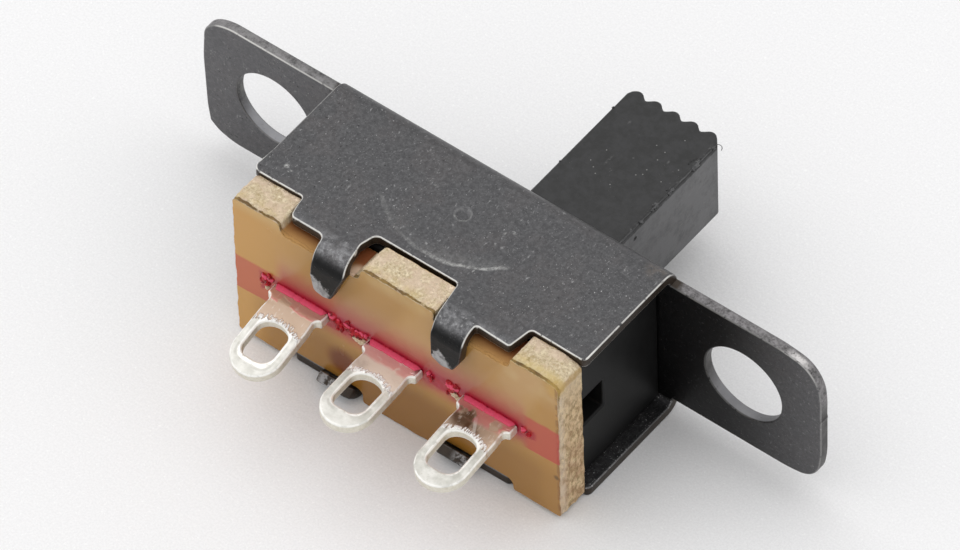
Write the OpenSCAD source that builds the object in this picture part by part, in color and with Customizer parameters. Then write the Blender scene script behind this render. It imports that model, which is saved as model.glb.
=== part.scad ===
// Panel slide switch: one folded steel frame with two screw ears, a phenolic
// base board with three solder lugs, and a moulded slider with a ribbed knob.
// X is the slide direction, +Y points out of the panel along the knob, +Z is up.
// The origin is midway between the two screw holes, on the front face of the plate.

/* [Frame] */
// Length of the folded body along the slide direction
body_l = 10.5; // [9:0.1:13]
// Width over the two side panels
body_w = 5.4; // [4.6:0.1:7]
// Depth of the side panels, from the front face to the edge that the board sits on
panel_d = 3.8; // [3.4:0.1:5]
// Thickness of the steel sheet
sheet_t = 0.3; // [0.26:0.01:0.36]
// Outer radius of the two long folds
fold_r = 0.5; // [0.4:0.05:0.6]
// Rounding of the sheet's outline at the rear corners of the side panels
panel_corner_r = 0.15; // [0.05:0.05:0.3]

/* [Screw ears] */
// Distance from the end of the body to the centre of a screw hole
hole_inset = 2.25; // [1.8:0.05:3]
// Diameter of the screw holes
hole_d = 2.4; // [2:0.1:3]
// Distance from the left screw hole to the end of its ear
ear_left_margin = 2.25; // [1.8:0.05:3]
// Distance from the right screw hole to the end of its ear
ear_right_margin = 2.43; // [1.8:0.05:3]
// Rounding of the left ear's corners
ear_left_r = 0.8; // [0.2:0.1:1.2]
// Rounding of the right ear's corners
ear_right_r = 1; // [0.2:0.1:1.2]
// How much narrower an ear is than the body, on each side
ear_step = 0.45; // [0.3:0.05:0.8]

/* [Tabs that hold the board] */
// Distance from the middle of the body to the near edge of a tab
tab_start = 1.35; // [1.2:0.05:1.8]
// Width of a tab
tab_w = 1.1; // [0.8:0.05:1.4]
// Width of the shoulder beside a tab
shoulder_w = 1; // [0.6:0.05:1.2]
// How far the end of a shoulder leans outwards at its foot
shoulder_lean = 0.1; // [0.05:0.05:0.2]
// How far an upper shoulder reaches behind the side panel
upper_reach = 0.68; // [0.4:0.02:0.9]
// How far a lower shoulder reaches behind the side panel
lower_reach = 0.88; // [0.4:0.02:0.9]
// Depth of the notch between the two tabs, in front of the board seat
middle_notch_d = 0.1; // [0.05:0.05:0.3]
// Length of an upper tab along the bent sheet, from the start of its fold
upper_tab_l = 1.42; // [1.4:0.02:1.8]
// Length of a lower tab along the bent sheet, from the start of its fold
lower_tab_l = 0.62; // [0.6:0.02:1.8]
// Inner radius of a tab's fold
tab_fold_r = 0.25; // [0.15:0.05:0.35]
// Fold angle of the two upper tabs
upper_fold = 90; // [60:5:90]
// Fold angle of the two lower tabs
lower_fold = 45; // [30:5:55]
// Small corner cut on the left of a tab's tip
tab_left_cut = 0.15; // [0.05:0.05:0.2]
// Width of the slanted cut on the right of a tab's tip
tab_right_cut_w = 0.4; // [0.2:0.05:0.6]
// Length of the slanted cut on the right of a tab's tip
tab_right_cut_l = 0.6; // [0.2:0.05:0.75]

/* [Click dimples] */
// Diameter of the punched dimple in each side panel
dimple_d = 0.56; // [0.4:0.02:0.8]
// Diameter of the dimple's flat bottom
dimple_floor_d = 0.28; // [0.1:0.02:0.36]
// Depth of the dimple
dimple_h = 0.1; // [0.05:0.01:0.12]
// Distance of the dimple behind the front face
dimple_y = 1.86; // [1.4:0.02:2.2]

/* [Base board] */
// Thickness of the phenolic board
board_t = 1; // [0.8:0.05:1.4]
// How much shorter the board is than the body, at each end
board_end_gap = 0.07; // [0:0.01:0.3]
// How far the outer parts of the board lie inside the width of the body
board_side_gap = 0.1; // [0:0.02:0.14]
// Rounding of the board's corners
board_corner_r = 0.15; // [0.05:0.05:0.15]
// Room beside a tab in the board's pocket, towards the middle of the board
pocket_inner_room = 0.15; // [0.05:0.05:0.25]
// Room beside a shoulder in the board's pocket, towards the end of the board
pocket_outer_room = 0.05; // [0.05:0.05:0.2]
// Rounding of the pockets' inner corners
pocket_r = 0.2; // [0.1:0.05:0.2]

/* [Terminals] */
// Distance between neighbouring terminals
terminal_pitch = 3; // [2.5:0.1:3.6]
// Thickness of the terminals
terminal_t = 0.3; // [0.25:0.01:0.36]
// Width of a terminal where it passes through the board
neck_w = 1.5; // [1.2:0.05:1.55]
// Width of the inner shoulder that stops the terminal against the board
stop_w = 1.9; // [1.8:0.05:2.1]
// Length of the inner shoulder
stop_l = 0.2; // [0.15:0.05:0.3]
// Length of the contact blade inside the switch
blade_l = 0.9; // [0.7:0.05:1]
// Width of the swaged root against the outside of the board
root_w = 1.68; // [1.6:0.02:2]
// Length of the swaged root
root_l = 0.3; // [0.2:0.05:0.5]
// Length of a solder lug behind the board
lug_l = 2.65; // [2.2:0.05:3.4]
// Width of a solder lug
lug_w = 1.48; // [1.2:0.02:1.8]
// Width of the wire eye
eye_w = 0.92; // [0.7:0.02:1.1]
// Length of the wire eye
eye_l = 1.1; // [0.95:0.05:1.35]
// Metal left between the eye and the tip of the lug
eye_rim = 0.56; // [0.4:0.02:0.8]
// Corner rounding at the tip end of the eye
eye_corner_r = 0.25; // [0.1:0.05:0.4]
// Droop of the left lug
droop_left = 12; // [0:1:20]
// Droop of the middle lug
droop_middle = 2; // [0:1:20]
// Droop of the right lug
droop_right = 6; // [0:1:20]

/* [Slider] */
// Length of the knob along the slide direction
knob_l = 2.86; // [2.4:0.02:3.6]
// Width of the knob across the slide direction
knob_w = 2.76; // [2.2:0.02:3.4]
// Height of the knob in front of the plate
knob_h = 4.94; // [3:0.02:8]
// Distance between the ribs on the end of the knob
rib_pitch = 0.565; // [0.45:0.005:0.7]
// Radius of the rounded top of a rib
rib_r = 0.32; // [0.3:0.01:0.36]
// Number of ribs on the end of the knob
ribs = 5; // [3:1:5]
// Distance from the end of the body to the carriage at the end of its travel
carriage_end_gap = 0.4; // [0.2:0.05:0.8]
// Height of the groove along the back of the carriage
groove_h = 1; // [0.8:0.02:1.1]
// Depth of the groove
groove_d = 1.1; // [1:0.05:1.3]
// Height of the pocket that holds the contact clip
pocket_h = 1.5; // [1.45:0.05:1.8]
// Length of a click notch along the slide direction
click_l = 0.7; // [0.6:0.05:0.9]

/* [Contact clip] */
// Thickness of the clip's strip
clip_t = 0.12; // [0.1:0.01:0.15]
// Height of the clip's back
clip_back_h = 1.36; // [1.1:0.02:1.42]
// Length of the slanted bend between the clip's back and its jaws
clip_bend_l = 0.24; // [0.2:0.02:0.3]
// Where the jaws pinch a blade, as a share of the blade's free length
jaw_share = 0.45; // [0.3:0.05:0.7]
// How much longer the clip is than the two terminals it bridges
clip_over = 0.1; // [0:0.05:0.3]
// Width of the slit between the clip's two pairs of jaws
clip_slit_w = 1; // [0.6:0.1:1.2]

/* [Fits] */
// Running gap between the carriage and the front plate
front_gap = 0.08; // [0.05:0.01:0.15]
// Running gap between the carriage and the side panels
side_gap = 0.1; // [0.06:0.01:0.15]
// Running gap between the carriage and the board
board_gap = 0.1; // [0.06:0.01:0.15]
// Gap around the knob in the plate's slot
slot_gap = 0.09; // [0.05:0.01:0.15]
// Gap around a terminal in its slot in the board
terminal_gap = 0.03; // [0.02:0.01:0.05]
// Gap between the tabs and the board, and under the shoulders
tab_gap = 0.02; // [0.01:0.01:0.05]
// Room under the shoulders in the board's pockets
shoulder_gap = 0.2; // [0.2:0.05:0.3]
// Gap between the clip's jaws and the blades
jaw_gap = 0.03; // [0.02:0.01:0.05]
// Gap between the clip and the walls of its pocket
clip_gap = 0.05; // [0.03:0.01:0.08]
// Clearance between a dimple and the floor of the click track
click_gap = 0.06; // [0.05:0.01:0.1]

/* [Hidden] */

$fn = 48;
FILLET_STEPS = 5;
BITE = 0.01;

steel_black = [0.16, 0.16, 0.17];
phenolic_tan = [0.72, 0.56, 0.38];
silver_plate = [0.9, 0.9, 0.86];
moulded_black = [0.13, 0.13, 0.14];
bronze = [0.8, 0.62, 0.4];

half_l = body_l / 2;
half_w = body_w / 2;
inner_half_w = half_w - sheet_t;
fold_inner_r = fold_r - sheet_t;
hole_x = half_l + hole_inset;
ear_half_h = half_w - ear_step;
board_front = -panel_d;
board_rear = -panel_d - board_t;
board_half_l = half_l - board_end_gap;
board_half_h = half_w - board_side_gap;
pocket_floor = inner_half_w - shoulder_gap;
tab_end = tab_start + tab_w;
shoulder_end = tab_end + shoulder_w;
tab_fold_y = board_rear - tab_gap + tab_fold_r;
travel = terminal_pitch;
rest_x = travel / 2;
slot_half_l = travel / 2 + knob_l / 2 + slot_gap;
slot_half_w = knob_w / 2 + slot_gap;
carriage_half_l = (body_l - travel) / 2 - carriage_end_gap;
carriage_front = -sheet_t - front_gap;
carriage_rear = board_front + board_gap;
carriage_half_w = inner_half_w - side_gap;
groove_floor = carriage_rear + groove_d;
clip_l = terminal_pitch + neck_w + clip_over;
clip_back = groove_floor - clip_gap;
jaw_z = terminal_t / 2 + jaw_gap;
jaw_y = board_front + stop_l + (blade_l - stop_l) * jaw_share;
jaw_mouth_y = carriage_rear + clip_gap;
track_d = max(dimple_h - side_gap + click_gap, click_gap);
click_d = track_d + click_gap;

// Points of a closed outline whose corners are [x, y, radius], with each corner
// replaced by a short run of points on its fillet.
function unit(v) = v / norm(v);
function fillet(p, q, s) =
    let (
        a = unit([p.x - q.x, p.y - q.y]),
        b = unit([s.x - q.x, s.y - q.y]),
        half = acos(a * b) / 2,
        reach = q.z / tan(half),
        centre = [q.x, q.y] + unit(a + b) * q.z / sin(half),
        from = [q.x, q.y] + a * reach - centre,
        to = [q.x, q.y] + b * reach - centre,
        turn = acos(unit(from) * unit(to)),
        side = sign(from.x * to.y - from.y * to.x)
    )
    [for (i = [0 : FILLET_STEPS])
        let (w = side * turn * i / FILLET_STEPS)
        centre + [from.x * cos(w) - from.y * sin(w), from.x * sin(w) + from.y * cos(w)]];
function rounded(corners) =
    let (n = len(corners))
    [for (i = [0 : n - 1])
        let (q = corners[i])
        each q.z == 0
            ? [[q.x, q.y]]
            : fillet(corners[(i + n - 1) % n], q, corners[(i + 1) % n])];

// A flat shape drawn in Y and Z, extruded along X from x0 to x1.
module along_x(x0, x1) {
    translate([x0, 0, 0])
        rotate([90, 0, 90])
            linear_extrude(height = x1 - x0)
                children();
}

// A flat shape drawn in X and Y, extruded along Z from z0 to z1.
module along_z(z0, z1) {
    translate([0, 0, z0])
        linear_extrude(height = z1 - z0)
            children();
}

// A flat shape drawn in X and Z, extruded along Y from y0 to y1.
module along_y(y0, y1) {
    translate([0, y1, 0])
        rotate([90, 0, 0])
            linear_extrude(height = y1 - y0)
                children();
}

module mirror_copy(axis) {
    children();
    mirror(axis)
        children();
}

// ---- frame: one sheet of steel, blanked, folded twice and closed with four tabs ----

// Section across the body: front plate, two folds and two side panels.
module channel_section(depth) {
    flat_half = half_w - fold_r;
    translate([-sheet_t, -flat_half])
        square([sheet_t, 2 * flat_half]);
    mirror_copy([0, 1]) {
        translate([-depth, inner_half_w])
            square([depth - fold_r, sheet_t]);
        translate([-fold_r, flat_half])
            intersection() {
                difference() {
                    circle(r = fold_r);
                    circle(r = fold_inner_r);
                }
                square(fold_r);
            }
    }
}

// Outline of a side panel seen from above, with its two shoulders.
module panel_outline(reach) {
    shoulder_y = -panel_d - reach;
    notch_y = -panel_d + middle_notch_d;
    r = panel_corner_r;
    polygon(rounded([
        [half_l, 0, 0],
        [half_l, -panel_d, r],
        [shoulder_end + shoulder_lean, -panel_d, 0],
        [shoulder_end, shoulder_y, r],
        [tab_start, shoulder_y, 0],
        [tab_start, notch_y, r],
        [-tab_start, notch_y, r],
        [-tab_start, shoulder_y, 0],
        [-shoulder_end, shoulder_y, r],
        [-shoulder_end - shoulder_lean, -panel_d, 0],
        [-half_l, -panel_d, r],
        [-half_l, 0, 0]
    ]));
}

// Outline of the front plate and its two ears, drawn in X and Z.
module plate_outline() {
    left_x = -hole_x - ear_left_margin;
    right_x = hole_x + ear_right_margin;
    polygon(rounded([
        [left_x, -ear_half_h, ear_left_r],
        [right_x, -ear_half_h, ear_right_r],
        [right_x, ear_half_h, ear_right_r],
        [left_x, ear_half_h, ear_left_r]
    ]));
}

// Flat outline of the straight end of a tab, from its fold to its tip.
module tab_end_outline(length, near, far) {
    polygon([
        [0, length],
        [0, near.y],
        [near.x, 0],
        [tab_w - far.x, 0],
        [tab_w, far.y],
        [tab_w, length]
    ]);
}

// One tab for the upper side, with its left edge at x: flat root, fold and
// straight end. near and far are the cuts at its left and right corners.
module tab(x, root_y, length, fold_angle, near, far) {
    outer_r = tab_fold_r + sheet_t;
    mean_r = tab_fold_r + sheet_t / 2;
    straight_l = length - mean_r * fold_angle * PI / 180;
    fold_z = inner_half_w - tab_fold_r;
    along_x(x, x + tab_w) {
        translate([tab_fold_y, inner_half_w])
            square([root_y - tab_fold_y + BITE, sheet_t]);
        translate([tab_fold_y, fold_z])
            intersection() {
                difference() {
                    circle(r = outer_r);
                    circle(r = tab_fold_r);
                }
                polygon([
                    [0, 0],
                    [0, 2 * outer_r],
                    [-2 * outer_r, 2 * outer_r],
                    2 * outer_r * [-sin(fold_angle), cos(fold_angle)]
                ]);
            }
    }
    translate([x, tab_fold_y, fold_z])
        rotate([fold_angle, 0, 0])
            translate([0, -straight_l, tab_fold_r])
                along_z(0, sheet_t)
                    tab_end_outline(straight_l, near, far);
}

// The four tabs that close the frame behind the board.
module tabs() {
    small_cut = [tab_left_cut, tab_left_cut];
    long_cut = [tab_right_cut_w, tab_right_cut_l];
    root_y = -panel_d + middle_notch_d - panel_corner_r;
    for (x = [-tab_end, tab_start]) {
        tab(x, root_y, upper_tab_l, upper_fold, small_cut, long_cut);
        mirror([0, 0, 1])
            tab(x, root_y, lower_tab_l, lower_fold, small_cut, small_cut);
    }
}

// The punched dimple of a side panel: a bump inside with a matching hollow outside.
module dimple_bump() {
    translate([0, -dimple_y, inner_half_w - dimple_h])
        cylinder(d1 = dimple_floor_d, d2 = dimple_d, h = dimple_h + BITE);
}

module dimple_hollow() {
    translate([0, -dimple_y, half_w - dimple_h])
        cylinder(d1 = dimple_floor_d, d2 = dimple_d, h = dimple_h + BITE);
}

// Half of the folded channel, drawn for the upper side.
module half_channel(reach) {
    intersection() {
        along_x(-half_l, half_l)
            channel_section(panel_d + reach);
        along_z(-BITE, half_w)
            panel_outline(reach);
    }
}

module frame() {
    color(steel_black)
        difference() {
            union() {
                half_channel(upper_reach);
                mirror([0, 0, 1])
                    half_channel(lower_reach);
                along_y(-sheet_t, 0)
                    plate_outline();
                tabs();
                mirror_copy([0, 0, 1])
                    dimple_bump();
            }
            along_y(-sheet_t - BITE, BITE)
                square([2 * slot_half_l, 2 * slot_half_w], center = true);
            for (side = [-1, 1])
                translate([side * hole_x, BITE, 0])
                    rotate([90, 0, 0])
                        cylinder(d = hole_d, h = sheet_t + 2 * BITE);
            mirror_copy([0, 0, 1])
                dimple_hollow();
        }
}

// ---- base board: punched phenolic with a slot for each terminal ----

module board_outline() {
    r = board_corner_r;
    pocket_x0 = tab_start - pocket_inner_room;
    pocket_x1 = shoulder_end + shoulder_lean + pocket_outer_room;
    quarter = [
        [board_half_l, board_half_h, r],
        [pocket_x1, board_half_h, r],
        [pocket_x1, pocket_floor, pocket_r],
        [pocket_x0, pocket_floor, pocket_r],
        [pocket_x0, half_w, r]
    ];
    back = [for (i = [len(quarter) - 1 : -1 : 0]) quarter[i]];
    polygon(rounded(concat(
        quarter,
        [for (p = back) [-p.x, p.y, p.z]],
        [for (p = quarter) [-p.x, -p.y, p.z]],
        [for (p = back) [p.x, -p.y, p.z]]
    )));
}

module base_board() {
    color(phenolic_tan)
        along_y(board_rear, board_front)
            difference() {
                board_outline();
                for (i = [-1 : 1])
                    translate([i * terminal_pitch, 0])
                        square([neck_w + 2 * terminal_gap, terminal_t + 2 * terminal_gap], center = true);
            }
}

// ---- terminals: blade, stop and neck in one plate, with a drooping eyed lug ----

module lug_outline() {
    tip_r = lug_w / 2;
    eye_end = -lug_l + eye_rim;
    eye_r = eye_w / 2;
    difference() {
        union() {
            translate([-tip_r, -lug_l + tip_r])
                square([lug_w, lug_l - tip_r - root_l]);
            translate([0, -lug_l + tip_r])
                circle(r = tip_r);
        }
        union() {
            translate([0, eye_end + eye_l - eye_r])
                circle(r = eye_r);
            polygon(rounded([
                [-eye_r, eye_end + eye_l - eye_r, 0],
                [-eye_r, eye_end, eye_corner_r],
                [eye_r, eye_end, eye_corner_r],
                [eye_r, eye_end + eye_l - eye_r, 0]
            ]));
        }
    }
}

module terminal(place, droop) {
    half_t = terminal_t / 2;
    bend_y = board_rear - root_l;
    color(silver_plate)
        translate([place * terminal_pitch, 0, 0]) {
            along_z(-half_t, half_t) {
                translate([-neck_w / 2, board_front])
                    square([neck_w, blade_l]);
                translate([-stop_w / 2, board_front])
                    square([stop_w, stop_l]);
                translate([-neck_w / 2, board_rear - BITE])
                    square([neck_w, board_t + 2 * BITE]);
                translate([-root_w / 2, bend_y])
                    square([root_w, root_l]);
            }
            translate([-lug_w / 2, bend_y, 0])
                rotate([0, 90, 0])
                    cylinder(d = terminal_t, h = lug_w);
            translate([0, bend_y, 0])
                rotate([droop, 0, 0])
                    translate([0, root_l, -half_t])
                        linear_extrude(height = terminal_t)
                            lug_outline();
        }
}

module terminal_left() {
    terminal(-1, droop_left);
}

module terminal_middle() {
    terminal(0, droop_middle);
}

module terminal_right() {
    terminal(1, droop_right);
}

// ---- slider: carriage and ribbed knob moulded in one ----

// Side view of the knob and its ribbed end, drawn in X and Y about the knob's middle.
module knob_outline() {
    foot_y = carriage_front - BITE;
    intersection() {
        union() {
            translate([-knob_l / 2, foot_y])
                square([knob_l, knob_h - rib_r - foot_y]);
            for (i = [0 : ribs - 1])
                translate([(i - (ribs - 1) / 2) * rib_pitch, knob_h - rib_r])
                    circle(r = rib_r);
        }
        translate([-knob_l / 2, foot_y])
            square([knob_l, knob_h - foot_y]);
    }
}

// Hollows in one side of the carriage: a shallow track and a deeper click notch
// for each end of the travel.
module click_track() {
    track_half_w = dimple_d / 2 + side_gap;
    translate([-travel / 2, -dimple_y - track_half_w, carriage_half_w - track_d])
        cube([travel, 2 * track_half_w, track_d + BITE]);
    for (side = [-1, 1])
        translate([side * travel / 2 - click_l / 2, -dimple_y - track_half_w, carriage_half_w - click_d])
            cube([click_l, 2 * track_half_w, click_d + BITE]);
}

module slider() {
    clip_pocket_half_l = clip_l / 2 + clip_gap;
    color(moulded_black)
        translate([rest_x, 0, 0])
            difference() {
                union() {
                    translate([-carriage_half_l, carriage_rear, -carriage_half_w])
                        cube([2 * carriage_half_l, carriage_front - carriage_rear, 2 * carriage_half_w]);
                    along_z(-knob_w / 2, knob_w / 2)
                        knob_outline();
                }
                translate([-carriage_half_l - BITE, carriage_rear - BITE, -groove_h / 2])
                    cube([2 * carriage_half_l + 2 * BITE, groove_d + BITE, groove_h]);
                translate([-clip_pocket_half_l, carriage_rear - BITE, -pocket_h / 2])
                    cube([2 * clip_pocket_half_l, groove_d + BITE, pocket_h]);
                mirror_copy([0, 0, 1])
                    click_track();
            }
}

// ---- contact clip: sprung strip whose jaws grip the blades of two terminals ----

// Section of the clip: the back, with a jaw on each side that runs in to the
// blade and flares out again at its mouth.
module clip_section() {
    back_z = clip_back_h / 2;
    mouth_z = jaw_z + (back_z - jaw_z) / 2;
    jaw_outside = [
        [clip_back, back_z],
        [clip_back - clip_bend_l, back_z],
        [jaw_y, jaw_z + clip_t],
        [jaw_mouth_y, mouth_z + clip_t]
    ];
    jaw_inside = [
        [jaw_mouth_y, mouth_z],
        [jaw_y, jaw_z],
        [clip_back - (clip_t + clip_bend_l) / 2, back_z - clip_t],
        [clip_back - clip_t, back_z - clip_t]
    ];
    upper = concat(jaw_outside, jaw_inside);
    polygon(concat(upper, [for (i = [len(upper) - 1 : -1 : 0]) [upper[i].x, -upper[i].y]]));
}

module contact_clip() {
    color(bronze)
        translate([rest_x, 0, 0])
            difference() {
                along_x(-clip_l / 2, clip_l / 2)
                    clip_section();
                translate([-clip_slit_w / 2, jaw_mouth_y - BITE, -pocket_h / 2])
                    cube([clip_slit_w, clip_back - clip_bend_l - jaw_mouth_y + BITE, pocket_h]);
            }
}

frame();
base_board();
terminal_left();
terminal_middle();
terminal_right();
slider();
contact_clip();
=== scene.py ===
import math

import bmesh
import bpy
from mathutils import Matrix, Vector, noise


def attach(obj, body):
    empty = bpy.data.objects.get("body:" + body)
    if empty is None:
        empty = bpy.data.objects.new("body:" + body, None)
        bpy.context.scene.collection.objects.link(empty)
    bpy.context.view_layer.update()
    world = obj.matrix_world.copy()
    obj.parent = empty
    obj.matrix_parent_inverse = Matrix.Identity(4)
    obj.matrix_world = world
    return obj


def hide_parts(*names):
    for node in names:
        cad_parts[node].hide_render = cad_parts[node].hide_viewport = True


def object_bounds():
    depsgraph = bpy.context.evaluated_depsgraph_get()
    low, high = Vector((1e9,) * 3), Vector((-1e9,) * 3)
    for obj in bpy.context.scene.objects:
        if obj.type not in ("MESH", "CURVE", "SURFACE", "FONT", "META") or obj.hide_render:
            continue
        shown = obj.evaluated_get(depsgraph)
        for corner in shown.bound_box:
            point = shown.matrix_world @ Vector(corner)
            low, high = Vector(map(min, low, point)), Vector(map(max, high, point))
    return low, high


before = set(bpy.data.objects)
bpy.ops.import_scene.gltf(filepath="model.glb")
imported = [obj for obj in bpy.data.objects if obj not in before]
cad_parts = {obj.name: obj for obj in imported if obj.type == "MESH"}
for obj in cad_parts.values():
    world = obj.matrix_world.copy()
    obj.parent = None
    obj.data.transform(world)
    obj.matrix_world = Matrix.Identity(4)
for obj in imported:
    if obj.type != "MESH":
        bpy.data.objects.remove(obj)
cad_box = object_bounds()

# ---------------------------------------------------------------------------
# The frame is one blank of thin steel, punched, folded twice into a channel and
# blackened. Two ears with screw holes are left flat in line with the front
# plate. Four tabs are bent over behind the board and hold the switch together.

MM = 0.001
SHEET, SHEET_EDGE = 0.3, 0.042
SCREW_PLACE, SCREW_R = 7.5, 1.2
SLOT_HALF, SLOT_SIDE = 3.02, 1.47
PLATE_HALF = 2.2  # from the middle of the front plate to either fold
FOLD_MEAN = 0.35  # radius of a fold at the middle of the sheet
FOLD_OUTER = FOLD_MEAN + SHEET / 2
PANEL_FLAT = 2.75  # how far out on the blank the side panels begin
PANEL_MID = PLATE_HALF + FOLD_MEAN
BODY_REACH = 5.4  # past this the blank is all ear, and stays flat
TAB_FROM, TAB_TO = 1.1, 2.5
TAB_FOLD_Y = -4.57
TAB_FOLD_MEAN = 0.4
UPPER_BEND, LOWER_BEND = math.radians(90), math.radians(45)
BOW = 0.012  # the side panels are never quite flat
DIMPLE, DIMPLE_R, DIMPLE_DEPTH = Vector((-0.11, 4.1)), 0.235, 0.06


def rounded(corners):
    """A closed outline from corners (x, y, radius), each replaced by its fillet."""
    out = []
    count = len(corners)
    for i, (x, y, r) in enumerate(corners):
        here = Vector((x, y))
        if r <= 0:
            out.append(here)
            continue
        a = Vector(corners[i - 1][:2]) - here
        b = Vector(corners[(i + 1) % count][:2]) - here
        half = a.angle(b) / 2
        reach = min(r / math.tan(half), a.length * 0.49, b.length * 0.49)
        r = reach * math.tan(half)
        a.normalize()
        b.normalize()
        centre = here + (a + b).normalized() * (r / math.sin(half))
        start, end = here + a * reach - centre, here + b * reach - centre
        turn = start.angle_signed(end)
        steps = max(3, int(abs(turn) * r / 0.04) + 2)
        for k in range(steps + 1):
            w = -turn * k / steps
            out.append(centre + Vector((
                start.x * math.cos(w) - start.y * math.sin(w),
                start.x * math.sin(w) + start.y * math.cos(w))))
    return out


def circle(x, y, r, count=72):
    return [Vector((x + r * math.cos(a * math.tau / count), y + r * math.sin(a * math.tau / count)))
            for a in range(count)]


def plate(loops, thickness, edge, steps=3):
    """A punched plate lying at z = 0 with rounded edges, as a bmesh. The first
    loop is the outline and the others are holes. Every point carries rim, which
    is 1 on the rounded edge, and cut, which is 1 on the punched side."""
    curve = bpy.data.curves.new("blank", "CURVE")
    curve.dimensions = "2D"
    curve.fill_mode = "BOTH"
    curve.extrude = thickness / 2 - edge
    curve.bevel_depth = edge
    curve.bevel_resolution = steps - 1
    curve.offset = -edge
    for loop in loops:
        spline = curve.splines.new("POLY")
        spline.points.add(len(loop) - 1)
        for point, p in zip(spline.points, loop):
            point.co = (p[0], p[1], 0, 1)
        spline.use_cyclic_u = True
    holder = bpy.data.objects.new("blank", curve)
    bpy.context.scene.collection.objects.link(holder)
    bpy.context.view_layer.update()
    solid = holder.evaluated_get(bpy.context.evaluated_depsgraph_get())
    mesh = bpy.data.meshes.new_from_object(solid)
    bpy.data.objects.remove(holder)
    bpy.data.curves.remove(curve)
    bm = bmesh.new()
    bm.from_mesh(mesh)
    bpy.data.meshes.remove(mesh)
    bmesh.ops.remove_doubles(bm, verts=bm.verts, dist=edge * 0.05)
    rim = bm.verts.layers.float.new("rim")
    cut = bm.verts.layers.float.new("cut")
    for v in bm.verts:
        depth = thickness / 2 - abs(v.co.z)
        v[rim] = 1.0 if 0.04 < depth / edge < 0.9 else 0.0
        v[cut] = min(1, depth / edge)
    return bm


def score(bm, along, places):
    """Cuts the mesh across one axis at each place, so that it can bend there."""
    normal = Vector([axis == along for axis in range(3)])
    for place in places:
        bmesh.ops.bisect_plane(
            bm, geom=bm.verts[:] + bm.edges[:] + bm.faces[:], dist=1e-5,
            plane_co=normal * place, plane_no=normal)


def steps_between(low, high, step):
    count = max(1, round((high - low) / step))
    return [low + (high - low) * k / count for k in range(count + 1)]


def piece(name, bm, materials, body, replaces=()):
    """Turns a bmesh drawn in millimetres into a finished piece on its body."""
    bmesh.ops.recalc_face_normals(bm, faces=bm.faces)
    bmesh.ops.triangulate(bm, faces=[f for f in bm.faces if len(f.verts) > 4])
    bm.transform(Matrix.Scale(MM, 4))
    mesh = bpy.data.meshes.new(name)
    bm.to_mesh(mesh)
    bm.free()
    for polygon in mesh.polygons:
        polygon.use_smooth = max(abs(c) for c in polygon.normal) < 0.99999
    for material in materials:
        mesh.materials.append(material)
    made = bpy.data.objects.new(name, mesh)
    bpy.context.scene.collection.objects.link(made)
    weighted = made.modifiers.new("even shading", "WEIGHTED_NORMAL")
    weighted.weight = 80
    weighted.keep_sharp = True
    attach(made, body)
    if replaces:
        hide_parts(*replaces)
    return made


def fold(x, v, w):
    """Where a point of the flat blank ends up: x along the switch, v across the
    blank, w through the sheet with its outside positive."""
    side = 1 if v > 0 else -1
    far = abs(v)
    if far <= PLATE_HALF or abs(x) > BODY_REACH:
        return Vector((x, w - SHEET / 2, v))
    turned = (far - PLATE_HALF) / FOLD_MEAN
    if turned < math.pi / 2:
        reach = FOLD_MEAN + w
        level = PLATE_HALF + reach * math.sin(turned)
        return Vector((x, reach * math.cos(turned) - FOLD_OUTER, side * level))
    y = PANEL_FLAT - far - FOLD_OUTER
    past = TAB_FOLD_Y - y
    if past <= 0 or not TAB_FROM < abs(x) < TAB_TO:
        bow = BOW * math.sin(x * 0.9 + 0.7) * math.sin(y * 0.8)
        return Vector((x, y, side * (PANEL_MID + w + bow)))
    bend = UPPER_BEND if side > 0 else LOWER_BEND
    angle = min(past / TAB_FOLD_MEAN, bend)
    straight = max(0, past - TAB_FOLD_MEAN * bend)
    reach = TAB_FOLD_MEAN + w
    level = PANEL_MID - TAB_FOLD_MEAN + reach * math.cos(angle) - straight * math.sin(angle)
    return Vector((x, TAB_FOLD_Y - reach * math.sin(angle) - straight * math.cos(angle), side * level))


upper_edge = [
    (5.25, 2.25, 0), (5.25, 6.05, 0.16), (3.56, 6.03, 0.12), (3.44, 6.78, 0.1), (2.37, 6.74, 0.08),
    (2.37, 7.3, 0.3), (2.28, 7.9, 0.2), (2.06, 8.3, 0.08), (1.7, 8.38, 0.16), (1.37, 8.2, 0.15),
    (1.38, 7.2, 0.4), (1.17, 5.93, 0.12), (-1.42, 5.93, 0.2), (-1.55, 6.4, 0.3), (-1.38, 7.3, 0.3),
    (-1.56, 7.7, 0.3), (-1.82, 8.35, 0.06), (-2.05, 8.42, 0.1), (-2.36, 8.34, 0.14), (-2.46, 7.8, 0.2),
    (-2.4, 7.3, 0.3), (-2.47, 6.72, 0.22), (-3.54, 6.72, 0.16), (-3.62, 6.4, 0.3), (-3.68, 6.04, 0.1),
    (-4.7, 6.06, 0.5), (-5.3, 6.06, 0.22), (-5.25, 5.2, 0.4), (-5.25, 2.25, 0)]
left_ear = [
    (-8.9, 2.25, 4), (-9.38, 2.07, 1.2), (-9.7, 1.72, 0.8), (-9.78, 0.6, 6), (-9.73, -1.3, 3),
    (-9.66, -1.86, 0.12), (-9.4, -2.1, 1), (-8.9, -2.26, 4)]
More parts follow.
